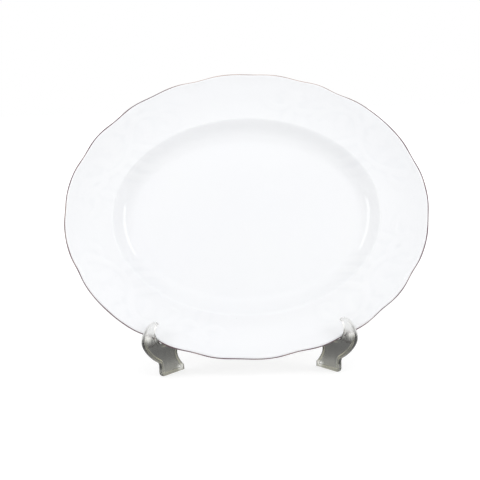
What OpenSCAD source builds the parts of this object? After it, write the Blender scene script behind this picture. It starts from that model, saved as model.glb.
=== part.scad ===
// Oval china serving platter leaning on a clear two-piece plate stand.
// Millimetres. Z is up, the table is Z = 0 and the viewer looks along +Y.

/* [Platter] */
// Length of the oval that the wavy lip follows
platter_l = 330; // [280:1:380]
// Width of the oval that the wavy lip follows
platter_w = 263.5; // [220:0.5:300]
// Height from the foot ring to the lip
platter_h = 30; // [26:0.5:36]
// Width of the rim from lip to shoulder at the platter's ends
rim_w = 42; // [36:0.5:50]
// Width of the rim from lip to shoulder at the platter's sides
rim_side_w = 39.5; // [34:0.5:46]
// Fall of the rim from lip to shoulder
rim_drop = 10; // [6:0.5:13]
// Width of the curved wall between shoulder and well floor
wall_w = 21; // [17:0.5:25]
// Thickness of the rim at the lip
lip_t = 4.4; // [3.4:0.1:5.4]
// Thickness of the porcelain under the shoulder
body_t = 4.5; // [3.5:0.1:5.5]
// Thickness of the porcelain in the well floor
floor_t = 4.8; // [3.8:0.1:6]
// Height of the foot ring under the well
foot_h = 3.2; // [2:0.1:4.5]
// Width of the foot ring where it stands
foot_w = 3; // [2:0.1:5]
// Slope of the foot ring's sides, as the width lost on each
foot_draft = 0.8; // [0.3:0.1:1.5]
// Depth of the deepest nick in the lip
nick_depth = 1.9; // [0:0.1:3]
// Spread of a nick to either side, in degrees round the oval
nick_spread = 3.5; // [2.5:0.1:5]
// Distance that a nick's crease runs in from the lip
nick_reach = 30; // [15:1:40]
// Thickness of the gilt line
gilt_t = 0.3; // [0.2:0.05:0.5]

/* [Stand] */
// Lean of the platter back from upright
lean = 18; // [14:0.5:22]
// Angle of each leg to the side of straight ahead
leg_angle = 35; // [30:0.5:40]
// Thickness of a leg
leg_t = 4; // [3:0.5:6]
// Distance along a leg from the crossing to the lip's seat
seat_reach = 142; // [130:1:155]
// Height of the seat over the table
seat_h = 30; // [28:0.5:36]
// Height of the curve that leads from the seat up into the hook
seat_curve = 11; // [6:0.5:14]
// Room between the lip and the hook in front of it
hook_play = 2.2; // [0.5:0.1:4]
// Width of the hook
hook_w = 15.5; // [10:0.5:17]
// Rise of the hook over the seat
hook_rise = 21; // [17:0.5:27]
// Height of the hook's fullest point over the seat
hook_belly = 5; // [2:0.5:9]
// Distance from the lip's seat to the tip that the hook curls back to
tip_reach = 0.2; // [0:0.1:4]
// Roundness of the hook's tip
tip_r = 1.5; // [1:0.1:3]
// Distance of the front foot's end behind the seat
foot_set = 2.5; // [0:0.5:10]
// Length of the front foot on the table
foot_len = 32.5; // [24:0.5:36]
// Height of the notch over the front foot
ankle_h = 11.5; // [8:0.5:14]
// Height of the front foot's toe
toe_h = 5; // [3:0.5:8]
// Depth of the arch over the front foot's toe
toe_cut = 9.5; // [5:0.5:14]
// Height of the arch between the feet
arch_h = 26; // [20:0.5:28]
// Height of an upright
upright_h = 146; // [125:1:165]
// Width of an upright at its top
upright_w = 14; // [10:0.5:20]
// Height where the seat's sweep meets the upright, over the seat
sweep_h = 22.5; // [17:0.5:31]
// Height of the legs where they cross
cross_h = 56; // [48:1:64]
// Length of a leg behind the crossing
tail = 15; // [12:0.5:22]
// Rounding of the leg's upper rear corner
lap_r = 10; // [4:0.5:12]
// Length of the rear foot in front of the crossing
heel = 24; // [16:0.5:32]
// Rounding of the feet's corners
corner_r = 4; // [1.5:0.5:5]
// Play between the platter and the stand
clear = 0.3; // [0.2:0.05:0.6]
// Play in the halved joint of the legs
lap_clear = 0.15; // [0.1:0.05:0.4]

/* [Hidden] */
stations = 144;

// Half of the nicks: angle round the oval from its right end, and share of the deepest.
// The other half lies opposite, so the outline repeats every half turn.
nicks = [[21.6, 0.63], [58.1, 1], [71.6, 0.74], [87.1, 0.47], [105.1, 0.9], [120.6, 0.53],
         [136.1, 0.79], [153.6, 0.74], [176.6, 0.42]];

half_l = platter_l/2 - gilt_t;
half_w = platter_w/2 - gilt_t;
lip_r = lip_t/2;
shoulder_h = platter_h - rim_drop;
floor_h = foot_h + floor_t;
wall_end = rim_w + wall_w;

function sum(v) = v*[for (i = v) 1];
function half_turn(a) = ((a + 90)%180 + 180)%180 - 90;
function dip(t) =
    nick_depth*sum([for (n = nicks) n[1]*exp(-pow(half_turn(t - n[0])/nick_spread, 2)/2)]);
function fade(inset) = pow(1 - min(max(inset/nick_reach, 0), 1), 2);
function bez(p, n) =
    [for (i = [1:n]) let (t = i/n, u = 1 - t)
        u*u*u*p[0] + 3*u*u*t*p[1] + 3*u*t*t*p[2] + t*t*t*p[3]];

// An inset at the ends becomes this one at the sides, where the rim has its own width.
function side_inset(inset) = inset + (rim_side_w - rim_w)*min(max(inset/rim_w, 0), 1);

// A point of the oval at angle t: inset from the lip and height over the foot ring's plane.
function oval(t, inset, h) =
    let (n = [half_w*cos(t), half_l*sin(t)]/norm([half_w*cos(t), half_l*sin(t)]),
         k = dip(t)*fade(inset))
    [(half_l - inset)*cos(t) - k*n[0], (half_w - side_inset(inset))*sin(t) - k*n[1], h];

// Section of the platter as [inset, height], from the well floor over the lip to the underside.
// The lip is a half circle, so the gilt line takes the same points a little further out.
function lip_arc(grow) =
    [for (a = [90:36:270]) [lip_r + (lip_r + grow)*cos(a), platter_h - lip_r + (lip_r + grow)*sin(a)]];
shoulder = [rim_w, shoulder_h];
floor_edge = [wall_end, floor_h];
under_shoulder = [rim_w - body_t, shoulder_h - 0.75*body_t];
foot_out = wall_end + foot_draft;
foot_in = foot_out + foot_w;
foot_root = [foot_out - foot_draft, foot_h];
section = concat(
    [floor_edge],
    bez([floor_edge, floor_edge - [0.65*wall_w, 0], shoulder + [0.15*wall_w, 0], shoulder], 7),
    bez([shoulder, [0.69*rim_w, shoulder_h], [0.37*rim_w, platter_h - 0.67*rim_drop],
         [lip_r, platter_h]], 4),
    [for (i = [1:5]) lip_arc(0)[i]],
    bez([[lip_r, platter_h - lip_t], [0.35*rim_w, platter_h - lip_t - 0.62*rim_drop],
         under_shoulder - [0.24*rim_w, 0.04*rim_drop], under_shoulder], 4),
    bez([under_shoulder, under_shoulder + [0.33*wall_w, -0.3*rim_drop], foot_root - [0.56*wall_w, 0],
         foot_root], 6),
    [[foot_out, 0], [foot_in, 0], [foot_in + foot_draft, foot_h]]);

// Closed solid from rings of points: one ring for each point of an open section, both ends capped.
module loft(path) {
    last = len(path) - 1;
    points = [for (q = path) for (i = [0:stations - 1]) oval(360*i/stations, q[0], q[1])];
    sides = [for (k = [0:last - 1]) for (i = [0:stations - 1])
        let (j = (i + 1)%stations)
        [k*stations + i, k*stations + j, (k + 1)*stations + j, (k + 1)*stations + i]];
    caps = [[for (i = [stations - 1:-1:0]) i], [for (i = [0:stations - 1]) last*stations + i]];
    polyhedron(points, concat(caps, sides), convexity = 6);
}

// Closed band from rings of points: one ring for each point of a closed section.
module hoop(path) {
    count = len(path);
    points = [for (q = path) for (i = [0:stations - 1]) oval(360*i/stations, q[0], q[1])];
    sides = [for (k = [0:count - 1]) for (i = [0:stations - 1])
        let (j = (i + 1)%stations, m = (k + 1)%count)
        [k*stations + i, k*stations + j, m*stations + j, m*stations + i]];
    polyhedron(points, sides, convexity = 6);
}

gilt_in = [for (i = [1:4]) lip_arc(0)[i]];
gilt_out = [for (i = [1:4]) lip_arc(gilt_t)[i]];

// Where the platter rests: its lip lies in the seat's curve, behind the hook.
seat_x = seat_reach*sin(leg_angle);
seat_v = -half_w*sqrt(1 - pow(seat_x/half_l, 2));
platter_y = -seat_reach*cos(leg_angle) - seat_v*sin(lean) + (platter_h - lip_r)*cos(lean);
// Points of the lip over a leg: distance forward from the crossing, height over the platter's centre.
lip_over_leg = [for (t = [180:0.5:360]) for (q = lip_arc(gilt_t))
    let (p = oval(t, q[0], q[1]),
         x = abs(p[0]),
         y = platter_y + p[1]*sin(lean) - p[2]*cos(lean))
    if (abs(x*cos(leg_angle) + y*sin(leg_angle)) < leg_t/2 + clear)
        [x*sin(leg_angle) - y*cos(leg_angle), p[1]*cos(lean) + p[2]*sin(lean)]];
hook_s = max([for (p = lip_over_leg) p[0]]) + hook_play;
seat_from = 2*seat_reach - hook_s;
// The curve is a quarter of an ellipse.
function seat_rise(s) =
    let (k = min(max((s - seat_from)/(hook_s - seat_from), 0), 1))
    seat_curve*(1 - sqrt(1 - k*k));
platter_z = seat_h + clear - min([for (p = lip_over_leg) p[1] - seat_rise(p[0])]);

// A leg's outline as [distance forward from the crossing, height].
// Its upright runs along the foot ring's plane.
function turn(from, corner, to, n) =
    bez([from, from + 0.55*(corner - from), to + 0.55*(corner - to), to], n);
// A turn that a straight run leads into.
function run_turn(from, corner, to, n) = concat([from], turn(from, corner, to, n));
function upright_s(z) =
    -(platter_y + (z - platter_z)*tan(lean) + clear/cos(lean) + leg_t/2*sin(leg_angle))/cos(leg_angle);
function up_at(z) = [upright_s(z), z];
hook_front = hook_s + hook_w;
belly = [hook_front, seat_h + hook_belly];
hook_top = seat_h + hook_rise;
tip = [seat_reach + tip_reach, hook_top - tip_r];
crown = [tip[0] + tip_r, hook_top];
foot_end = seat_reach - foot_set;
ankle = [foot_end + tip_r, ankle_h + tip_r];
toe = foot_end - foot_len;
arch_end = toe + toe_cut;
arch_r = 0.28*arch_h;
upright_r = upright_w/2;
shaft = up_at(upright_h - upright_r);
back = [upright_w, 0];
ridge = up_at(upright_h) - back/2;
bridge = [heel + corner_r, cross_h];
leg_outline = concat(
    [[toe, 0]],
    run_turn([foot_end - corner_r, 0], [foot_end, 0], [foot_end, corner_r], 4),
    run_turn([foot_end, ankle_h - tip_r], [foot_end, ankle_h], ankle, 4),
    turn(ankle, [hook_front, (ankle[1] + belly[1])/2], belly, 12),
    turn(belly, [hook_front, hook_top], crown, 10),
    turn(crown, [tip[0] - tip_r, hook_top], tip, 5),
    turn(tip, [hook_s, tip[1] - 2*tip_r], [hook_s, seat_h + seat_curve], 8),
    turn([hook_s, seat_h + seat_curve], [hook_s, seat_h], [seat_from, seat_h], 9),
    turn([seat_from, seat_h], up_at(seat_h), up_at(seat_h + sweep_h), 10),
    run_turn(shaft, up_at(upright_h), ridge, 6),
    turn(ridge, up_at(upright_h) - back, shaft - back, 6),
    turn(shaft - back, up_at(cross_h) - back, bridge, 14),
    run_turn([lap_r - tail, cross_h], [-tail, cross_h], [-tail, cross_h - lap_r], 6),
    run_turn([-tail, corner_r], [-tail, 0], [corner_r - tail, 0], 4),
    run_turn([heel - corner_r, 0], [heel, 0], [heel, corner_r], 4),
    turn([heel, corner_r], [heel, arch_h], [heel + arch_h, arch_h], 8),
    run_turn([arch_end - 2*arch_r, arch_h], [arch_end, arch_h], [arch_end, arch_h - arch_r], 7),
    turn([arch_end, arch_h - arch_r], [arch_end, toe_h + arch_r], [toe, toe_h], 6));

lap_h = cross_h/2;
past = 1;

// The part is centred over its own footprint.
front_y = min(-hook_front*cos(leg_angle) - leg_t/2*sin(leg_angle),
              platter_y - half_w*sin(lean) - platter_h*cos(lean));
back_y = max(tail*cos(leg_angle) + leg_t/2*sin(leg_angle), platter_y + half_w*sin(lean));
centre_y = (front_y + back_y)/2;

module lean_back() {
    translate([0, platter_y - centre_y, platter_z]) rotate([90 - lean, 0, 0]) children();
}

module leg(side) {
    translate([0, -centre_y, 0])
        rotate([0, 0, side*leg_angle - 90])
            rotate([90, 0, 0])
                translate([0, 0, -leg_t/2])
                    linear_extrude(leg_t)
                        polygon(leg_outline);
}

// Room for the leg of the given side where it passes through the other one.
module slot(side, low, high) {
    width = leg_t + 2*lap_clear;
    translate([0, -centre_y, 0])
        rotate([0, 0, side*leg_angle - 90])
            translate([-2*leg_t, -width/2, low])
                cube([4*leg_t, width, high - low]);
}

module platter() {
    color("white") lean_back() loft(section);
}

module gilt_line() {
    color("rosybrown") lean_back() hoop(concat(gilt_in, [for (i = [3:-1:0]) gilt_out[i]]));
}

module left_leg() {
    color("gray", 0.6)
        difference() {
            leg(-1);
            slot(1, lap_h, cross_h + past);
        }
}

module right_leg() {
    color("gray", 0.6)
        difference() {
            leg(1);
            slot(-1, -past, lap_h + lap_clear);
        }
}

platter();
gilt_line();
left_leg();
right_leg();
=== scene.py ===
# Oval china serving platter leaning on a clear plastic plate stand.
import math

import bpy
import numpy as np
from mathutils import Matrix, Vector


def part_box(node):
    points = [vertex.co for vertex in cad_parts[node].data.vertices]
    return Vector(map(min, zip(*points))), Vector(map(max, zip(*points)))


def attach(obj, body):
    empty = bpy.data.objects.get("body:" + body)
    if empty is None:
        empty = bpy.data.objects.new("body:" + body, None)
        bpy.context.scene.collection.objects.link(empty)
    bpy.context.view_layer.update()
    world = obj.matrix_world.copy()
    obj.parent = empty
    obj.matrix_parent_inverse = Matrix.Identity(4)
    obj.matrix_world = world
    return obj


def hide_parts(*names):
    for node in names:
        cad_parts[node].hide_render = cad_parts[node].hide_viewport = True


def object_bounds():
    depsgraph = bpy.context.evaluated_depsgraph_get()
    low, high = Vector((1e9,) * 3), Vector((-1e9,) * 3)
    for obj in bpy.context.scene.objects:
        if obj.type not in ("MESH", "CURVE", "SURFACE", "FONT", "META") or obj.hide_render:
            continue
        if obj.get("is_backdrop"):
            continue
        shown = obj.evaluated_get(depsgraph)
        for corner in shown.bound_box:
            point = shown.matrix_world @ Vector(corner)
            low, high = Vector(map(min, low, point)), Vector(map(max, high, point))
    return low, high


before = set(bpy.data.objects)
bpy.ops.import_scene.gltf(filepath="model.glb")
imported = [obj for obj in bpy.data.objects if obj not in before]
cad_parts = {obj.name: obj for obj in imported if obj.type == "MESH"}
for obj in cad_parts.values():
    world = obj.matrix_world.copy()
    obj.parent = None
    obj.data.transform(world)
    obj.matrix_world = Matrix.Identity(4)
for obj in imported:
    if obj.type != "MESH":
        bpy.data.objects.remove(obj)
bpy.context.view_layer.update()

# Platter
# One piece of hard white porcelain, pressed over a mould that gives the wavy lip, the well and the
# low sprays on the rim. It is dipped in clear glaze, wiped clean on the foot ring and fired.

# The pieces' sizes are written in millimetres, which mm turns to metres.
mm = 0.001
platter_l = 330
platter_w = 263.5
platter_h = 30
rim_w = 42
rim_side_w = 39.5
rim_drop = 10
wall_w = 21
lip_t = 4.4
body_t = 4.5
floor_t = 4.8
well_crown = 0.4
foot_h = 3.2
foot_w = 3
foot_draft = 0.8
gilt_t = 0.3
lean = math.radians(18)
stations = 600

# Each nick of the wavy lip has its place in degrees round the oval and its share of the full depth.
nick_depth = 1.9
nick_spread = 3.5
nick_reach = 30
nicks = ((21.6, 0.63), (58.1, 1), (71.6, 0.74), (87.1, 0.47), (105.1, 0.9), (120.6, 0.53), (136.1, 0.79),
         (153.6, 0.74), (176.6, 0.42))

half_l = platter_l/2 - gilt_t
half_w = platter_w/2 - gilt_t
lip_r = lip_t/2
wall_end = rim_w + wall_w
turns = np.arange(stations)*2*np.pi/stations


def half_turn(degrees):
    """Angle within a quarter turn of zero: the lip's outline repeats every half turn."""
    return (degrees + 90) % 180 - 90


def curve(p0, p1, p2, p3, n):
    """The n points that follow p0 along a cubic curve to p3."""
    t = np.arange(1, n + 1)[:, None]/n
    u = 1 - t
    return u**3*np.array(p0) + 3*u*u*t*np.array(p1) + 3*u*t*t*np.array(p2) + t**3*np.array(p3)


def oval_rings(inset, height, share=1):
    """Rings round the oval at these insets from the lip and heights over the foot, share of full size."""
    outward = np.array([half_w*np.cos(turns), half_l*np.sin(turns)])
    outward = outward/np.linalg.norm(outward, axis=0)
    dip = sum(part*np.exp(-(half_turn(np.degrees(turns) - at)/nick_spread)**2/2) for at, part in nicks)
    crease = nick_depth*dip*(1 - np.clip(inset/nick_reach, 0, 1))**2
    side_inset = inset + (rim_side_w - rim_w)*np.clip(inset/rim_w, 0, 1)
    x = share*((half_l - inset)*np.cos(turns) - crease*outward[0])
    y = share*((half_w - side_inset)*np.sin(turns) - crease*outward[1])
    return np.stack([x, y, height + np.zeros_like(x)], axis=2)


def ring_object(name, rings, place, looped=False):
    """Object from rings of points in millimetres: looped rings close on themselves, others get end caps."""
    count, around = rings.shape[:2]
    points = rings.reshape(-1, 3)
    i = np.arange(around)
    j = (i + 1) % around
    faces = []
    for k in range(count if looped else count - 1):
        low = k*around
        high = (k + 1) % count*around
        faces += np.stack([low + i, high + i, high + j, low + j], axis=1).tolist()
    if not looped:
        points = np.vstack([points, rings[0].mean(0), rings[-1].mean(0)])
        last = (count - 1)*around
        faces += np.stack([np.full(around, len(points) - 2), i, j], axis=1).tolist()
        faces += np.stack([np.full(around, len(points) - 1), last + j, last + i], axis=1).tolist()
    mesh = bpy.data.meshes.new(name)
    mesh.from_pydata(points*mm, [], faces)
    mesh.shade_smooth()
    made = bpy.data.objects.new(name, mesh)
    made.matrix_world = place
    bpy.context.scene.collection.objects.link(made)
    return made


# The section runs as inset and height from the well floor over the lip to the underside. Shares of
# a width, a height or a drop place the handles of its curves.
floor_edge = np.array([wall_end, foot_h + floor_t])
shoulder = np.array([rim_w, platter_h - rim_drop])
under_shoulder = shoulder - [body_t, 0.75*body_t]
foot_out = wall_end + foot_draft
foot_in = foot_out + foot_w
foot_root = np.array([wall_end, foot_h])
foot_back = np.array([foot_in + foot_draft, foot_h])
wall = curve(floor_edge, floor_edge - [0.65*wall_w, 0], shoulder + [0.15*wall_w, 0], shoulder, 32)
rim = curve(shoulder, (0.69*rim_w, shoulder[1]), (0.37*rim_w, platter_h - 0.67*rim_drop),
            (lip_r, platter_h), 56)
lip_angle = np.radians(np.arange(105, 271, 15))
lip = np.stack([lip_r + lip_r*np.cos(lip_angle), platter_h - lip_r + lip_r*np.sin(lip_angle)], axis=1)
under_rim = curve(lip[-1], (0.35*rim_w, platter_h - lip_t - 0.62*rim_drop),
                  under_shoulder - [0.24*rim_w, 0.04*rim_drop], under_shoulder, 16)
under_wall = curve(under_shoulder, under_shoulder + [0.33*wall_w, -0.3*rim_drop],
                   foot_root - [0.56*wall_w, 0], foot_root, 14)
foot_outside = curve(foot_root, (foot_out, 0.2*foot_h), (foot_out, 0), (foot_out + 0.3*foot_w, 0), 6)
foot_inside = curve((foot_in - 0.3*foot_w, 0), (foot_in, 0), (foot_in, 0.2*foot_h), foot_back, 6)
section = np.vstack([[floor_edge], wall, rim, lip, under_rim, under_wall, foot_outside,
                     [foot_inside[0] - [0.2*foot_w, 0]], foot_inside])

# The well's floor and the base are rings at these shares of their full size.
shares = np.array([0.03, 0.2, 0.4, 0.6, 0.8, 0.94])[:, None]
well_rings = oval_rings(wall_end, floor_edge[1] + well_crown*(1 - shares**2), shares)
base_rings = oval_rings(foot_back[0], foot_h, shares[::-1])
rings = np.concatenate([well_rings, oval_rings(section[:, :1], section[:, 1:]), base_rings])

# The sprays are drawn as strokes in millimetres along the rim and out from its middle, each a curve of
# four points with its half width and its share of the full height. A stem thins towards its end, and
# a leaf is pointed at both ends with a groove along it.
relief_h = 0.5
stems = (
    ((-46, 2), (-32, -17), (-10, -18), (3, -3), 2.3, 0.75),
    ((3, -3), (14, 13), (34, 13), (46, -3), 2.3, 0.75),
    ((-46, 2), (-53, 12), (-41, 18), (-37, 8), 2.1, 0.7),
    ((46, -3), (53, -14), (40, -19), (36, -9), 2.1, 0.7),
)
leaves = (
    ((-24, -12), (-30, -21), (-26, -30), (-17, -35), 3.9, 0.95),
    ((-12, -14), (-13, -24), (-7, -33), (3, -36), 4.1, 1),
    ((0, -6), (5, -17), (12, -25), (22, -27), 3.9, 0.95),
    ((8, 4), (3, 10), (6, 15), (14, 16), 3.2, 0.75),
    ((21, 9), (18, 14), (23, 18), (32, 16), 3.2, 0.75),
    ((22, 7), (27, 1), (24, -7), (16, -10), 3.2, 0.75),
    ((38, 5), (45, 8), (52, 6), (57, -1), 3, 0.7),
    ((-30, -8), (-25, 0), (-28, 8), (-33, 13), 3.2, 0.75),
    ((-42, -4), (-50, -8), (-55, -5), (-60, 3), 3, 0.7),
)
flower_at = (-9, 6)
sprig_leaves = (
    ((-2, -4), (-9, -10), (-17, -9), (-23, -2), 3.2, 0.75),
    ((2, -4), (9, -10), (17, -9), (23, -2), 3.2, 0.75),
    ((0, -6), (-4, -14), (2, -20), (0, -28), 3.4, 0.85),
)
sprig_flower_at = (0, 3)
petals = 6
petal_run = (1, 5, 8.5)
petal_half = 3.4
petal_high = 0.8
eye_r = 2.6
stem_taper = 0.6
leaf_point = 0.04
leaf_fullness = 0.8
groove_depth = 0.45
groove_half = 0.3
stroke_points = 14
spray_reach = 64

# Each spray and sprig has its place in degrees round the oval, and 1 or -1 for its hand.
spray_turns = ((40, 1), (220, 1), (140, -1), (320, -1))
sprig_turns = ((72, 1), (252, 1), (347, 1), (167, 1))


def stroke(along, out, path, half, high, leaf):
    """Height of one moulded stroke over the rim, at points along the rim and out from its middle."""
    height = np.zeros(np.broadcast_shapes(along.shape, out.shape))
    steps = np.diff(path, axis=0)
    for k, (start, step) in enumerate(zip(path, steps)):
        part = np.clip(((along - start[0])*step[0] + (out - start[1])*step[1])/(step @ step), 0, 1)
        gap = np.hypot(along - start[0] - part*step[0], out - start[1] - part*step[1])
        run = (k + part)/len(steps)
        if leaf:
            width = half*np.sin(np.pi*(leaf_point + (1 - 2*leaf_point)*run))**leaf_fullness
            groove = 1 - groove_depth*np.exp(-(gap/(groove_half*half))**2)
        else:
            width = half*(1 - stem_taper*run)
            groove = 1
        rise = np.clip(1 - (gap/width)**2, 0, 1)**2
        height = np.maximum(height, relief_h*high*rise*groove)
    return height


def blossom(along, out, at):
    """Height of a small flower: petals round a raised eye."""
    height = np.zeros(np.broadcast_shapes(along.shape, out.shape))
    for k in range(petals):
        way = np.array([math.cos(2*math.pi*k/petals), math.sin(2*math.pi*k/petals)])
        path = np.array([np.array(at) + r*way for r in petal_run])
        height = np.maximum(height, stroke(along, out, path, petal_half, petal_high, True))
    eye = np.hypot(along - at[0], out - at[1])
    return np.maximum(height, relief_h*np.clip(1 - (eye/eye_r)**2, 0, 1)**2)


def softened(heights, passes):
    """The heights blurred a little in both directions, more with every pass."""
    for _ in range(passes):
        heights = (heights + np.roll(heights, 1, axis=1) + np.roll(heights, -1, axis=1))/3
        heights[1:-1] = (heights[:-2] + heights[1:-1] + heights[2:])/3
    return heights


middle = oval_rings(np.array([[rim_w/2]]), 0)[0]
lengths = np.concatenate([[0], np.cumsum(np.linalg.norm(np.diff(middle, axis=0), axis=1))])
girth = lengths[-1] + np.linalg.norm(middle[0] - middle[-1])
first_row = len(shares) + 1
relief_rows = slice(first_row, first_row + len(wall) + len(rim))
out = rim_w/2 - np.vstack([wall, rim])[:, :1]
relief = np.zeros((len(out), stations))
designs = ((spray_turns, flower_at, stems, leaves), (sprig_turns, sprig_flower_at, (), sprig_leaves))
for places, bloom_at, stalks, blades in designs:
    for degrees, hand in places:
        offset = lengths - lengths[round(degrees/360*stations)]
        along = hand*((offset + girth/2) % girth - girth/2)
        near = np.abs(along) < spray_reach
        height = blossom(along[near], out, bloom_at)
        for strokes, leaf in ((stalks, False), (blades, True)):
            for p0, p1, p2, p3, half, high in strokes:
                path = np.vstack([[p0], curve(p0, p1, p2, p3, stroke_points)])
                height = np.maximum(height, stroke(along[near], out, path, half, high, leaf))
        relief[:, near] = np.maximum(relief[:, near], height)

# The glaze fills and rounds the moulded edges.
glaze_passes = 5
relief = softened(relief, glaze_passes)
across = np.gradient(rings, axis=0)
around = np.roll(rings, -1, axis=1) - np.roll(rings, 1, axis=1)
normals = np.cross(across, around)
normals = normals/np.linalg.norm(normals, axis=2, keepdims=True)
rings[relief_rows] += relief[:, :, None]*normals[relief_rows]

tilt = Matrix.Rotation(math.pi/2 - lean, 4, "X")
leaning = rings.reshape(-1, 3) @ np.array(tilt.to_3x3()).T
platter_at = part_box("platter")[1] - Vector(leaning.max(0)*mm)
platter_at.x = 0
platter_place = Matrix.Translation(platter_at) @ tilt
platter = ring_object("platter_body", rings, platter_place)

# Glaze gathers in the hollows beside the raised strokes, and these hollows also take a painted shade.
# The middle points of the two end caps come last and hold none.
pool_passes = 8
full_pool = 0.25*relief_h
pool_and_shade = np.zeros(rings.shape[:2])
pool_and_shade[relief_rows] = np.clip((softened(relief, pool_passes) - relief)/full_pool, 0, 1)
pool_and_shade_layer = platter.data.attributes.new("glaze_pool_and_shade", "FLOAT", "POINT")
pool_and_shade_layer.data.foreach_set("value", np.append(pool_and_shade.ravel(), [0, 0]).astype(np.float32))


def linear(code):
    """Linear colour of an sRGB hex code."""
    parts = [int(code[k:k + 2], 16)/255 for k in (1, 3, 5)]
    return [c/12.92 if c <= 0.04045 else ((c + 0.055)/1.055)**2.4 for c in parts] + [1]


def add_node(tree, kind, links=None, **settings):
    """Adds a node with its settings. links maps an input to a value or to the output that feeds it.

    A Mix node has its two colours at inputs 6 and 7 and the mixed one at output 2.
    """
    node = tree.nodes.new(kind)
    for name, value in settings.items():
        setattr(node, name, value)
    for socket, value in (links or {}).items():
        if isinstance(value, bpy.types.NodeSocket):
            tree.links.new(value, node.inputs[socket])
        else:
            node.inputs[socket].default_value = value
    return node


# Glazed hard porcelain: fired glaze is a thin glass, so it shines sharply over a white body, with a
# slight ripple like orange peel, a cooler tone where it pools, darkened there by painted shade, and a
# few specks of iron.
glaze = bpy.data.materials.new("glazed_porcelain")
glaze.use_nodes = True
tree = glaze.node_tree
shader = tree.nodes["Principled BSDF"]
shader.inputs["IOR"].default_value = 1.5
where = add_node(tree, "ShaderNodeTexCoord").outputs["Object"]
cloud_size = 70*mm
ripple_size = 6*mm
ripple_h = 0.15*mm
pool_and_shade_depth = 0.8
speck_gap = 16*mm
speck_r = 0.384*mm
cloud = add_node(tree, "ShaderNodeTexNoise", {"Vector": where, "Scale": 1/cloud_size, "Detail": 3.0})
tone = add_node(tree, "ShaderNodeMix", {"Factor": cloud.outputs["Fac"], 6: linear("#F5F6F9"),
                                        7: linear("#F8F9FA")}, data_type="RGBA")
# The pooled glaze is cooler and darker: partly the glaze's own tone, partly painted shade in the hollows.
pooled_and_shaded = add_node(tree, "ShaderNodeAttribute", attribute_name="glaze_pool_and_shade")
depth = add_node(tree, "ShaderNodeMath", {0: pooled_and_shaded.outputs["Fac"], 1: pool_and_shade_depth}, operation="MULTIPLY")
shaded = add_node(tree, "ShaderNodeMix", {"Factor": depth.outputs["Value"], 6: tone.outputs[2],
                                          7: linear("#ECEEF1")}, data_type="RGBA")
cells = add_node(tree, "ShaderNodeTexVoronoi", {"Vector": where, "Scale": 1/speck_gap})
speck = add_node(tree, "ShaderNodeMapRange", {"Value": cells.outputs["Distance"],
                                              "From Min": speck_r/speck_gap/2,
                                              "From Max": speck_r/speck_gap, "To Min": 0.3,
                                              "To Max": 0.0})
specked = add_node(tree, "ShaderNodeMix", {"Factor": speck.outputs["Result"], 6: shaded.outputs[2],
                                           7: linear("#B9AFA2")}, data_type="RGBA")
tree.links.new(specked.outputs[2], shader.inputs["Base Color"])
polish = add_node(tree, "ShaderNodeMapRange", {"Value": cloud.outputs["Fac"], "From Min": 0.3,
                                               "From Max": 0.7, "To Min": 0.06, "To Max": 0.12})
tree.links.new(polish.outputs["Result"], shader.inputs["Roughness"])
ripple = add_node(tree, "ShaderNodeTexNoise", {"Vector": where, "Scale": 1/ripple_size, "Detail": 2.0})
bump = add_node(tree, "ShaderNodeBump", {"Height": ripple.outputs["Fac"], "Strength": 0.12,
                                         "Distance": ripple_h})
tree.links.new(bump.outputs["Normal"], shader.inputs["Normal"])

# Biscuit porcelain: the wiped foot ring is bare fired clay, matt and a little greyer than the glaze.
# Its grit is really finer, and is drawn this coarse so that it shows.
biscuit = bpy.data.materials.new("biscuit_porcelain")
biscuit.use_nodes = True
tree = biscuit.node_tree
shader = tree.nodes["Principled BSDF"]
grit_size = 0.8*mm
grit_h = 0.1*mm
where = add_node(tree, "ShaderNodeTexCoord").outputs["Object"]
grit = add_node(tree, "ShaderNodeTexNoise", {"Vector": where, "Scale": 1/grit_size, "Detail": 4.0})
clay = add_node(tree, "ShaderNodeMix", {"Factor": grit.outputs["Fac"], 6: linear("#D3CFC8"),
                                        7: linear("#E9E6E0")}, data_type="RGBA")
tree.links.new(clay.outputs[2], shader.inputs["Base Color"])
shader.inputs["Roughness"].default_value = 0.75
bump = add_node(tree, "ShaderNodeBump", {"Height": grit.outputs["Fac"], "Strength": 0.3,
                                         "Distance": grit_h})
tree.links.new(bump.outputs["Normal"], shader.inputs["Normal"])

platter.data.materials.append(glaze)
platter.data.materials.append(biscuit)
wiped_h = 0.35*foot_h*mm
for face in platter.data.polygons:
    if face.center.z < wiped_h:
        face.material_index = 1
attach(platter, "platter")
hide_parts("platter")

# Gilt line
# Liquid gold brushed round the lip by hand on the finished glaze and fired once more. It is a film
# whose edges waver with the brush, rubbed thin and dull in patches, and paler along the top.
line_rows = 9
line_sunk = 0.1
brush_waver = math.radians(7)
brush_waves = ((7, 0.4), (17, 2.1), (41, 4.7))

# The film covers the outer round of the lip, between two angles of its section. The first lies near
# the top and wanders as the brush did, and the other lies underneath.
line_from = np.radians(128 - 8*np.sin(turns) + 2*np.cos(turns) - 4*np.cos(2*turns)
                       - 4*np.cos(3*turns - math.pi/3))
line_to = math.radians(224)
waver = sum(np.sin(n*turns + phase)/len(brush_waves) for n, phase in brush_waves)
spread = np.linspace(0, 1, line_rows)[:, None]
sweep = line_from + brush_waver*waver + spread*(line_to - line_from - brush_waver*waver)
lift = gilt_t*np.sin(np.pi*spread)**0.5
reach = np.concatenate([lip_r + lift + 0*sweep, lip_r - line_sunk + 0*sweep])
sweep = np.concatenate([sweep, sweep[::-1]])
line_rings = oval_rings(lip_r + reach*np.cos(sweep), platter_h - lip_r + reach*np.sin(sweep))
gilt_line = ring_object("gilt_line_band", line_rings, platter_place, looped=True)

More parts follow.
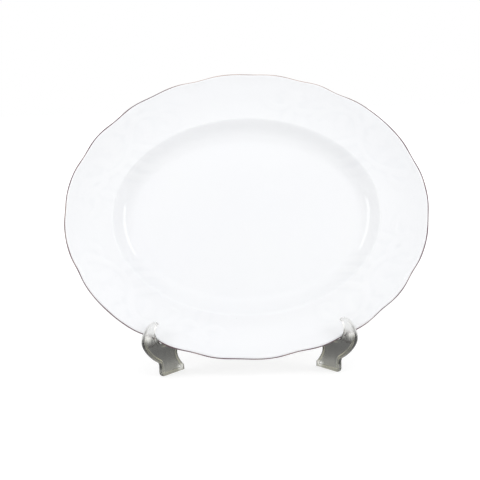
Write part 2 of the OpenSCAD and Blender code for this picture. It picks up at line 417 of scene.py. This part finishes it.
# Worn fired gold: bright gold gone brown and matt, broken by short rubbed patches where the white
# glaze shows through. The grain of the brush is really finer, and is drawn this coarse to show.
gilding = bpy.data.materials.new("worn_gilding")
gilding.use_nodes = True
tree = gilding.node_tree
shader = tree.nodes["Principled BSDF"]
where = add_node(tree, "ShaderNodeTexCoord").outputs["Object"]
rub_size = 22*mm
grain_size = 2*mm
top_way = (0.06, 1, 0)
top_from = 108*mm
top_to = 118*mm
rub = add_node(tree, "ShaderNodeTexNoise", {"Vector": where, "Scale": 1/rub_size, "Detail": 4.0})
upward = add_node(tree, "ShaderNodeVectorMath", {0: where, 1: top_way}, operation="DOT_PRODUCT")
top_paling = add_node(tree, "ShaderNodeMapRange", {"Value": upward.outputs["Value"], "From Min": top_from,
                                                "From Max": top_to, "To Min": 0.0, "To Max": 0.4})
worn = add_node(tree, "ShaderNodeMath", {0: rub.outputs["Fac"], 1: top_paling.outputs["Result"]},
                operation="ADD")
bare = add_node(tree, "ShaderNodeMapRange", {"Value": worn.outputs["Value"], "From Min": 0.5,
                                             "From Max": 0.95, "To Min": 0.0, "To Max": 1.0})
gold = add_node(tree, "ShaderNodeMix", {"Factor": bare.outputs["Result"], 6: linear("#705860"),
                                        7: linear("#CFBDB5")}, data_type="RGBA")
tree.links.new(gold.outputs[2], shader.inputs["Base Color"])
shader.inputs["Metallic"].default_value = 0.25
grain = add_node(tree, "ShaderNodeTexNoise", {"Vector": where, "Scale": 1/grain_size, "Detail": 2.0})
matt = add_node(tree, "ShaderNodeMapRange", {"Value": grain.outputs["Fac"], "To Min": 0.45, "To Max": 0.7})
tree.links.new(matt.outputs["Result"], shader.inputs["Roughness"])
gilt_line.data.materials.append(gilding)
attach(gilt_line, "platter")
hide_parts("gilt_line")

# Stand
# Two like legs of clear plastic, moulded flat with rounded edges. One is slotted from above and the
# other from below, and they push together at the slots and hold the platter at lip and foot ring.
leg_angle = math.radians(35)
leg_t = 4
edge_r = 1.1
border_w = 2
border_h = 0.35
step_w = 1.3
seat_reach = 142
seat_h = 30
seat_curve = 11
hook_w = 15.5
hook_rise = 21
hook_belly = 5
tip_reach = 0.2
tip_r = 1.5
crown_r = 2.6
foot_set = 2.5
foot_len = 32.5
ankle_h = 11.5
toe_h = 5
toe_cut = 9.5
arch_h = 26
upright_h = 146
upright_w = 14
sweep_h = 22.5
cross_h = 56
tail = 15
lap_r = 10
heel = 24
corner_r = 4
clear = 0.3
lap_clear = 0.15

half_t_y = leg_t/2*math.sin(leg_angle)
crossing_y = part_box("left_leg")[1].y/mm - tail*math.cos(leg_angle) - half_t_y
foot_plane_y = platter_at.y/mm - crossing_y
foot_plane_z = platter_at.z/mm


def up_at(z):
    """The point of the upright's front edge at height z, just behind the platter's foot ring."""
    back = foot_plane_y + (z - foot_plane_z)*math.tan(lean) + clear/math.cos(lean)
    return np.array([-(back + half_t_y)/math.cos(leg_angle), z])


def turn(start, corner, end, n):
    """The n points that follow start round a corner to end, nearly as an arc."""
    start, corner, end = np.array(start), np.array(corner), np.array(end)
    handle = 0.55
    return curve(start, start + handle*(corner - start), end + handle*(corner - end), end, n)


def run_turn(start, corner, end, n):
    """A turn with its start point, where a straight run leads into it."""
    return np.vstack([[start], turn(start, corner, end, n)])


hook_front = (crossing_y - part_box("left_leg")[0].y/mm - half_t_y)/math.cos(leg_angle)
hook_inside = hook_front - hook_w
seat_from = 2*seat_reach - hook_inside
belly = (hook_front, seat_h + hook_belly)
hook_top = seat_h + hook_rise
tip = (seat_reach + tip_reach, hook_top - crown_r)
crown = (tip[0] + crown_r, hook_top)
foot_end = seat_reach - foot_set
ankle = (foot_end + tip_r, ankle_h + tip_r)
toe = foot_end - foot_len
arch_end = toe + toe_cut
arch_r = 0.28*arch_h
shaft = up_at(upright_h - upright_w/2)
back = np.array([upright_w, 0])
ridge = up_at(upright_h) - back/2
bridge = (heel + corner_r, cross_h)


def leg_outline(fill):
    """A leg's outline as points forward from the crossing and up, with its seat's corner filled."""
    return np.vstack([
        [[toe, 0]],
        run_turn((foot_end - corner_r, 0), (foot_end, 0), (foot_end, corner_r), 8),
        run_turn((foot_end, ankle_h - tip_r), (foot_end, ankle_h), ankle, 8),
        turn(ankle, (hook_front, (ankle[1] + belly[1])/2), belly, 24),
        turn(belly, (hook_front, hook_top), crown, 20),
        turn(crown, (tip[0], hook_top), tip, 10),
        turn(tip, (hook_inside, hook_top - 3*tip_r), (hook_inside, seat_h + seat_curve), 14),
        turn((hook_inside, seat_h + seat_curve), (hook_inside - fill, seat_h), (seat_from, seat_h), 16),
        turn((seat_from, seat_h), up_at(seat_h), up_at(seat_h + sweep_h), 20),
        run_turn(shaft, up_at(upright_h), ridge, 12),
        turn(ridge, up_at(upright_h) - back, shaft - back, 12),
        turn(shaft - back, up_at(cross_h) - back, bridge, 28),
        run_turn((lap_r - tail, cross_h), (-tail, cross_h), (-tail, cross_h - lap_r), 12),
        run_turn((-tail, corner_r), (-tail, 0), (corner_r - tail, 0), 8),
        run_turn((heel - corner_r, 0), (heel, 0), (heel, corner_r), 8),
        turn((heel, corner_r), (heel, arch_h), (heel + arch_h, arch_h), 16),
        run_turn((arch_end - 2*arch_r, arch_h), (arch_end, arch_h), (arch_end, arch_h - arch_r), 14),
        turn((arch_end, arch_h - arch_r), (arch_end, toe_h + arch_r), (toe, toe_h), 12)])


def inward(outline, gap):
    """The closed outline moved inward by a small gap, or by one gap for each of its points.

    At a very sharp corner the point moves less far than a full mitre.
    """
    before = outline - np.roll(outline, 1, axis=0)
    after = np.roll(outline, -1, axis=0) - outline
    sides = [np.stack([-d[:, 1], d[:, 0]], axis=1)/np.linalg.norm(d, axis=1, keepdims=True)
             for d in (before, after)]
    mitre = sides[0] + sides[1]
    least = 0.6
    return outline + gap*mitre/np.clip((mitre*sides[0]).sum(1, keepdims=True), least, None)


# The rounded edge and the border run out towards the hook's narrow tip, and the border's painted pale
# line of light is left off in the shade of the lip, round the corner of the seat. Each point across the
# border's step has its share of the fall and how pale its painted light is.
tip_run = 10
tip_share = 0.12
lip_shade = 8
edge_points = 6
border_step_and_painted_light = ((0, -0.2), (0.15, 0.8), (0.5, 1), (0.85, 0.8), (1, 0))


def leg_mesh(name, outline):
    """A leg running forward from the crossing: a flat plate with rounded edges and a raised border.

    Its points keep how pale a painted line of light they lie on, and below zero how dark a painted
    shade. The rounded edge is painted dark along its middle and pale on its shoulder.
    """
    levels = []
    for a in np.radians(np.linspace(0, 90, edge_points)):
        levels.append((edge_r*(1 - math.cos(a)), leg_t/2 - edge_r*(1 - math.sin(a)),
                       -0.8*math.cos(3*a) - 0.2))
    for k, (fall, line) in enumerate(border_step_and_painted_light):
        levels.append((border_w + step_w*k/(len(border_step_and_painted_light) - 1), leg_t/2 - border_h*fall, line))
    levels = [(gap, -depth, line) for gap, depth, line in reversed(levels)] + levels
    narrow = np.clip(np.linalg.norm(outline - tip, axis=1, keepdims=True)/tip_run, tip_share, 1)
    layers = [np.insert(inward(outline, gap*narrow), 1, depth, axis=1) for gap, depth, _ in levels]
    count = len(outline)
    i = np.arange(count)
    j = (i + 1) % count
    faces = [list(range(count)), list(range(len(layers)*count - 1, (len(layers) - 1)*count - 1, -1))]
    for k in range(len(layers) - 1):
        low = k*count
        high = low + count
        faces += np.stack([low + j, low + i, high + i, high + j], axis=1).tolist()
    mesh = bpy.data.meshes.new(name)
    mesh.from_pydata(np.vstack(layers)*mm, [], faces)
    lit = np.clip(np.linalg.norm(outline - (hook_inside, seat_h), axis=1)/lip_shade - 1, 0, 1)
    lines = np.concatenate([line*lit if line > 0 else np.full(count, line) for _, _, line in levels])
    line_layer = mesh.attributes.new("border_step_and_painted_light", "FLOAT", "POINT")
    line_layer.data.foreach_set("value", lines.astype(np.float32))
    return mesh


def leg_place(side):
    """Where a leg stands: it runs from the crossing towards the viewer, to the given side."""
    return Matrix.Translation((0, crossing_y*mm, 0)) @ Matrix.Rotation(side*leg_angle - math.pi/2, 4, "Z")


# Clear polystyrene: moulded clear and glossy, with a light tint. A painted shade darkens the front feet,
# in streaks that are lost in the clear hooks. Painted pale olive highlights lie on the border's step and
# the shoulder of the edge, painted shade darkens the rounded edge, a painted highlight lights the toe,
# and the lip has scuffed the hooks a little.
plastic = bpy.data.materials.new("clear_polystyrene")
plastic.use_nodes = True
tree = plastic.node_tree
shader = tree.nodes["Principled BSDF"]
shader.inputs["IOR"].default_value = 1.5
shader.inputs["Transmission Weight"].default_value = 1.0
where = add_node(tree, "ShaderNodeTexCoord").outputs["Object"]
along_leg = add_node(tree, "ShaderNodeSeparateXYZ", {"Vector": where})
forward = along_leg.outputs["X"]
height = along_leg.outputs["Z"]

# Painted shade: the front feet are darkened in smoky streaks from the table up, clearing into the hooks.
streak_w = 2.2*mm
streak_len = 26*mm
streak_run = 9*mm
painted_shade_from = (heel + toe)/2
clear_from = seat_h + 0.8*hook_rise
painted_shade_tones = ((0, "#8A8A81"), (8, "#80807A"), (14, "#62625E"), (24, "#4E4E4B"), (31.5, "#585855"),
         (34.5, "#82827E"), (37, "#CECEC8"), (40, "#FCFCF9"), (clear_from, "#FEFEFD"))
stretch = add_node(tree, "ShaderNodeVectorMath", {0: where, 1: (1/streak_w, 0, 1/streak_len)},
                   operation="MULTIPLY")
streak = add_node(tree, "ShaderNodeTexNoise", {"Vector": stretch.outputs["Vector"], "Scale": 1.0})
shift = add_node(tree, "ShaderNodeMapRange", {"Value": streak.outputs["Fac"], "To Min": -streak_run,
                                              "To Max": streak_run})
near_hook = add_node(tree, "ShaderNodeMapRange", {"Value": forward, "From Min": toe*mm,
                                                  "From Max": seat_from*mm})
streaked = add_node(tree, "ShaderNodeMath", {0: shift.outputs["Result"], 1: near_hook.outputs["Result"],
                                             2: height}, operation="MULTIPLY_ADD")
painted_shade_level = add_node(tree, "ShaderNodeMath", {0: streaked.outputs["Value"], 1: clear_from*mm},
                       operation="DIVIDE")
foot_painted_shade = add_node(tree, "ShaderNodeValToRGB", {"Fac": painted_shade_level.outputs["Value"]})
ramp = foot_painted_shade.color_ramp.elements
for k, (at, code) in enumerate(painted_shade_tones):
    stop = ramp[k] if k < len(ramp) else ramp.new(1)
    stop.position = at/clear_from
    stop.color = linear(code)
front_foot = add_node(tree, "ShaderNodeMapRange", {"Value": forward, "From Min": painted_shade_from*mm,
                                                   "From Max": toe*mm})
tint_and_painted_shade = add_node(tree, "ShaderNodeMix", {"Factor": front_foot.outputs["Result"], 6: linear("#D6D6D0"),
                                         7: foot_painted_shade.outputs["Color"]}, data_type="RGBA")

# Painted pale lines of light and painted shade on the dark edge. Both fade where the hook rises over
# the lip, and the painted dark edge stops a little above the table.
fade_from = 37*mm
fade_to = 41*mm
table_from = 2*mm
table_to = 6*mm
line = add_node(tree, "ShaderNodeAttribute", attribute_name="border_step_and_painted_light")
catch = add_node(tree, "ShaderNodeMapRange", {"Value": streak.outputs["Fac"], "From Min": 0.25,
                                              "From Max": 0.75, "To Min": 0.4, "To Max": 1.0})
faint = add_node(tree, "ShaderNodeMapRange", {"Value": height, "From Min": fade_from, "From Max": fade_to,
                                              "To Min": 1.0, "To Max": 0.4})
shown = add_node(tree, "ShaderNodeMath", {0: catch.outputs["Result"], 1: faint.outputs["Result"]},
                 operation="MULTIPLY")
pale = add_node(tree, "ShaderNodeMath", {0: line.outputs["Fac"], 1: shown.outputs["Value"]},
                operation="MULTIPLY")
painted_pale_lines = add_node(tree, "ShaderNodeMix", {"Factor": pale.outputs["Value"], 6: tint_and_painted_shade.outputs[2],
                                         7: linear("#C6C2A2")}, data_type="RGBA")
below_lip = add_node(tree, "ShaderNodeMapRange", {"Value": height, "From Min": fade_from,
                                                  "From Max": fade_to, "To Min": -0.75, "To Max": 0.0})
off_table = add_node(tree, "ShaderNodeMapRange", {"Value": height, "From Min": table_from,
                                                  "From Max": table_to, "To Min": 0.0, "To Max": 1.0})
deep = add_node(tree, "ShaderNodeMath", {0: below_lip.outputs["Result"], 1: off_table.outputs["Result"]},
                operation="MULTIPLY")
dark = add_node(tree, "ShaderNodeMath", {0: line.outputs["Fac"], 1: deep.outputs["Value"]},
                operation="MULTIPLY")
painted_dark_edge = add_node(tree, "ShaderNodeMix", {"Factor": dark.outputs["Value"], 6: painted_pale_lines.outputs[2],
                                         7: linear("#3A3A38")}, data_type="RGBA")

# A painted highlight on the toe.
toe_highlight_at = ((toe + 4.5)*mm, 0, 3.5*mm)
toe_highlight_l = 5*mm
toe_highlight_h = 3*mm
from_toe = add_node(tree, "ShaderNodeVectorMath", {0: where, 1: toe_highlight_at}, operation="SUBTRACT")
toe_spread = add_node(tree, "ShaderNodeVectorMath", {0: from_toe.outputs["Vector"],
                                                     1: (1/toe_highlight_l, 0, 1/toe_highlight_h)}, operation="MULTIPLY")
toe_gap = add_node(tree, "ShaderNodeVectorMath", {0: toe_spread.outputs["Vector"]}, operation="LENGTH")
toe_highlight = add_node(tree, "ShaderNodeMapRange", {"Value": toe_gap.outputs["Value"], "From Min": 0.3,
                                                 "From Max": 1.2, "To Min": 0.9, "To Max": 0.0})
painted_toe_highlight = add_node(tree, "ShaderNodeMix", {"Factor": toe_highlight.outputs["Result"], 6: painted_dark_edge.outputs[2],
                                           7: linear("#F6F6F2")}, data_type="RGBA")
tree.links.new(painted_toe_highlight.outputs[2], shader.inputs["Base Color"])

# The moulded gloss, with flow marks and the scuffed hooks.
flow_size = 14*mm
flow_h = 0.3*mm
scuff_dull = 0.2
flow = add_node(tree, "ShaderNodeTexNoise", {"Vector": where, "Scale": 1/flow_size, "Detail": 3.0})
gloss = add_node(tree, "ShaderNodeMapRange", {"Value": flow.outputs["Fac"], "To Min": 0.06, "To Max": 0.16})
on_hook = add_node(tree, "ShaderNodeMapRange", {"Value": forward, "From Min": seat_from*mm,
                                                "From Max": hook_inside*mm, "To Min": 0.0, "To Max": 1.0})
over_seat = add_node(tree, "ShaderNodeMapRange", {"Value": height, "From Min": seat_h*mm,
                                                  "From Max": (seat_h + seat_curve)*mm})
scuff = add_node(tree, "ShaderNodeMath", {0: on_hook.outputs["Result"], 1: over_seat.outputs["Result"]},
                 operation="MULTIPLY")
dull = add_node(tree, "ShaderNodeMath", {0: scuff.outputs["Value"], 1: scuff_dull,
                                         2: gloss.outputs["Result"]}, operation="MULTIPLY_ADD")
tree.links.new(dull.outputs["Value"], shader.inputs["Roughness"])
bump = add_node(tree, "ShaderNodeBump", {"Height": flow.outputs["Fac"], "Strength": 0.15,
                                         "Distance": flow_h})
tree.links.new(bump.outputs["Normal"], shader.inputs["Normal"])

# Each leg has its side, how far its seat's corner is filled, and the low and high end of its slot.
# The wavy lip leaves more room over the left seat. A slot's cutter runs past the leg's own edge.
slot_w = leg_t + 2*lap_clear
slot_l = 4*leg_t
lap_h = cross_h/2
past = 2
sharp_angle = math.radians(35)
legs = {"left_leg": (-1, 4, lap_h, cross_h + past), "right_leg": (1, 2, -past, lap_h + lap_clear)}
for name, (side, seat_fill, low, high) in legs.items():
    piece = name + "_moulding"
    leg = bpy.data.objects.new(piece, leg_mesh(piece, leg_outline(seat_fill)))
    leg.matrix_world = leg_place(side)
    bpy.context.scene.collection.objects.link(leg)
    bpy.ops.mesh.primitive_cube_add(size=1)
    cutter = bpy.context.object
    cutter.matrix_world = (leg_place(-side) @ Matrix.Translation((0, 0, (low + high)/2*mm))
                           @ Matrix.Diagonal((slot_l*mm, slot_w*mm, (high - low)*mm, 1)))
    cut = leg.modifiers.new("slot", "BOOLEAN")
    cut.object = cutter
    cut.solver = "EXACT"
    bpy.context.view_layer.update()
    whole = leg.evaluated_get(bpy.context.evaluated_depsgraph_get())
    leg.data = bpy.data.meshes.new_from_object(whole)
    leg.modifiers.clear()
    bpy.data.objects.remove(cutter)
    leg.data.shade_smooth()
    leg.data.set_sharp_from_angle(angle=sharp_angle)
    leg.data.materials.clear()
    leg.data.materials.append(plastic)
    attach(leg, "stand")
    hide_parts(name)

# Floor and light
# A plain white table in a white room, lit by two soft boxes at either side of the camera, one large
# soft box overhead and the even light of the room.
table_r = 8000*mm
white_from = 300*mm
white_to = 1200*mm
bpy.ops.mesh.primitive_circle_add(vertices=96, radius=table_r, fill_type="NGON")
floor = bpy.context.object
floor.name = "floor"


def background_seen(tree):
    """1 where the camera sees the background, also by a reflection or through the plastic, else 0."""
    rays = add_node(tree, "ShaderNodeLightPath").outputs
    seen = rays["Is Camera Ray"]
    for other in ("Is Glossy Ray", "Is Transmission Ray"):
        either = add_node(tree, "ShaderNodeMath", {0: seen, 1: rays[other]}, operation="MAXIMUM")
        seen = either.outputs["Value"]
    return seen


# White table: matt, and seen as white away from the object. It keeps the object's shadow.
table = bpy.data.materials.new("white_table")
table.use_nodes = True
tree = table.node_tree
shader = tree.nodes["Principled BSDF"]
shader.inputs["Roughness"].default_value = 0.9
shader.inputs["Specular IOR Level"].default_value = 0.0
shader.inputs["Emission Color"].default_value = linear("#FFFFFF")
seen = background_seen(tree)
shade = add_node(tree, "ShaderNodeMix", {"Factor": seen, 6: linear("#F0F0F0"), 7: linear("#9E9E9E")},
                 data_type="RGBA")
tree.links.new(shade.outputs[2], shader.inputs["Base Color"])
where = add_node(tree, "ShaderNodeTexCoord").outputs["Object"]
away = add_node(tree, "ShaderNodeVectorMath", {0: where}, operation="LENGTH")
white = add_node(tree, "ShaderNodeMapRange", {"Value": away.outputs["Value"], "From Min": white_from,
                                              "From Max": white_to, "To Min": 0.74, "To Max": 1.0})
glow = add_node(tree, "ShaderNodeMath", {0: seen, 1: white.outputs["Result"]}, operation="MULTIPLY")
tree.links.new(glow.outputs["Value"], shader.inputs["Emission Strength"])
floor.data.materials.append(table)
floor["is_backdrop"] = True

# The room is seen as white, and its light is a little stronger from the right.
room_light = 0.83
room_fall = 0.07
room = bpy.data.worlds.new("white_room")
bpy.context.scene.world = room
room.use_nodes = True
tree = room.node_tree
sky = tree.nodes["Background"]
sky.inputs["Color"].default_value = linear("#FFFFFF")
facing = add_node(tree, "ShaderNodeTexCoord").outputs["Generated"]
across_room = add_node(tree, "ShaderNodeSeparateXYZ", {"Vector": facing}).outputs["X"]
even = add_node(tree, "ShaderNodeMapRange", {"Value": across_room, "From Min": -1.0, "From Max": 1.0,
                                             "To Min": room_light - room_fall,
                                             "To Max": room_light + room_fall})
strength = add_node(tree, "ShaderNodeMapRange", {"Value": background_seen(tree),
                                                 "To Min": even.outputs["Result"], "To Max": 1.0})
tree.links.new(strength.outputs["Result"], sky.inputs["Strength"])

# Each soft box has its degrees to the side and up, its distance, width and height in metres, and its
# radiance.
lip_centre = platter_place @ Vector((0, 0, platter_h*mm))
soft_boxes = (
    ("left_box", -58, 28, 1.1, 0.27, 0.8, 2.7),
    ("right_box", 58, 28, 1.1, 0.27, 0.8, 2.6),
    ("key_box", 15, 50, 1.2, 0.8, 0.6, 0.3),
)
for name, side, rise, away, wide, tall, radiance in soft_boxes:
    lamp = bpy.data.lights.new(name, "AREA")
    lamp.shape = "RECTANGLE"
    lamp.size = wide
    lamp.size_y = tall
    lamp.energy = radiance*math.pi*wide*tall
    light = bpy.data.objects.new(name, lamp)
    a, e = math.radians(side), math.radians(rise)
    way = Vector((math.sin(a)*math.cos(e), -math.cos(a)*math.cos(e), math.sin(e)))
    light.location = lip_centre + away*way
    light.rotation_euler = way.to_track_quat("Z", "Y").to_euler()
    bpy.context.scene.collection.objects.link(light)

# Camera
# It stands about a metre away, a little over the middle of the platter, and is tipped to one side by
# a degree or two. The lip's centre is set where it lies in the picture.
image_px = 480
lip_px = (246.3, 213.5)
lip_span_px = 366.4
camera_away = 1.05
camera_rise = math.radians(6.7)
camera_roll = math.radians(-1.5)
focal_px = lip_span_px/(platter_l*mm)*camera_away
photo_lens = bpy.data.cameras.new("photo_camera")
photo_lens.sensor_width = 36
photo_lens.lens = focal_px/image_px*photo_lens.sensor_width
camera = bpy.data.objects.new("photo_camera", photo_lens)
bpy.context.scene.collection.objects.link(camera)
way = Vector((0, -math.cos(camera_rise), math.sin(camera_rise)))
aim = Vector((lip_px[0] - image_px/2, image_px/2 - lip_px[1], -focal_px))
swing = aim.rotation_difference(Vector((0, 0, -1))).to_matrix().to_4x4()
camera.matrix_world = (Matrix.Translation(lip_centre + camera_away*way)
                       @ way.to_track_quat("Z", "Y").to_matrix().to_4x4()
                       @ Matrix.Rotation(camera_roll, 4, "Z") @ swing)
bpy.context.scene.camera = camera
bpy.context.scene.view_settings.view_transform = "Standard"

low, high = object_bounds()
